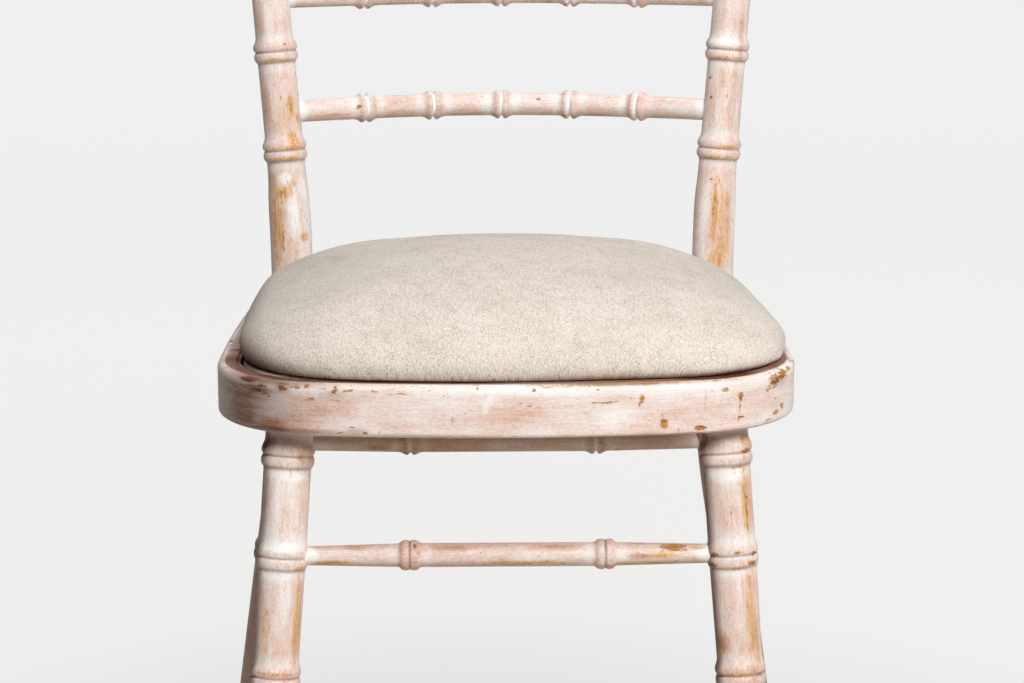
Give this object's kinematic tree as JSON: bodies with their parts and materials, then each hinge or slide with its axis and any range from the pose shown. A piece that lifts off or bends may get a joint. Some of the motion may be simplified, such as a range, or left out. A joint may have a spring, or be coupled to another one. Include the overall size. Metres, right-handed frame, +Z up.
{
  "type": "banqueting chair",
  "caption": "Bamboo-turned stacking chair with splayed legs, bowed back rails and a drop-in linen seat pad, its lime-washed paint worn through to bare wood.",
  "frame": {"origin": "on the floor under the middle of the chair's bounding box", "axes": "+Z up, -Y towards the front of the chair, +X towards the right side as seen from the front"},
  "size_m": [0.4762, 0.4876, 0.8905],
  "materials": {
    "limewashed_beech": "matt lime-wash worn through to bare wood",
    "bare_beech": "sawn, unfinished",
    "birch_plywood": "unfinished plywood",
    "oatmeal_linen": "woven, matt",
    "zinc_steel": "zinc plated"
  },
  "bodies": {
    "root": {"seat_frame": "limewashed_beech", "left_front_leg": "limewashed_beech", "right_front_leg": "limewashed_beech", "left_rear_post": "limewashed_beech", "right_rear_post": "limewashed_beech", "front_stretcher": "limewashed_beech", "rear_stretcher": "limewashed_beech", "left_upper_side_stretcher": "limewashed_beech", "left_lower_side_stretcher": "limewashed_beech", "right_upper_side_stretcher": "limewashed_beech", "right_lower_side_stretcher": "limewashed_beech", "back_rail_1": "limewashed_beech", "back_rail_2": "limewashed_beech", "back_rail_3": "limewashed_beech", "back_rail_4": "limewashed_beech", "seat_pad": "oatmeal_linen", "pad_board": "birch_plywood", "left_front_corner_block": "bare_beech", "right_front_corner_block": "bare_beech", "left_rear_corner_block": "bare_beech", "right_rear_corner_block": "bare_beech", "left_front_block_screw_1": "zinc_steel", "left_front_block_screw_2": "zinc_steel", "left_post_screw_1": "zinc_steel", "left_post_screw_2": "zinc_steel", "right_front_block_screw_1": "zinc_steel", "right_front_block_screw_2": "zinc_steel", "right_post_screw_1": "zinc_steel", "right_post_screw_2": "zinc_steel"}
  },
  "joints": []
}
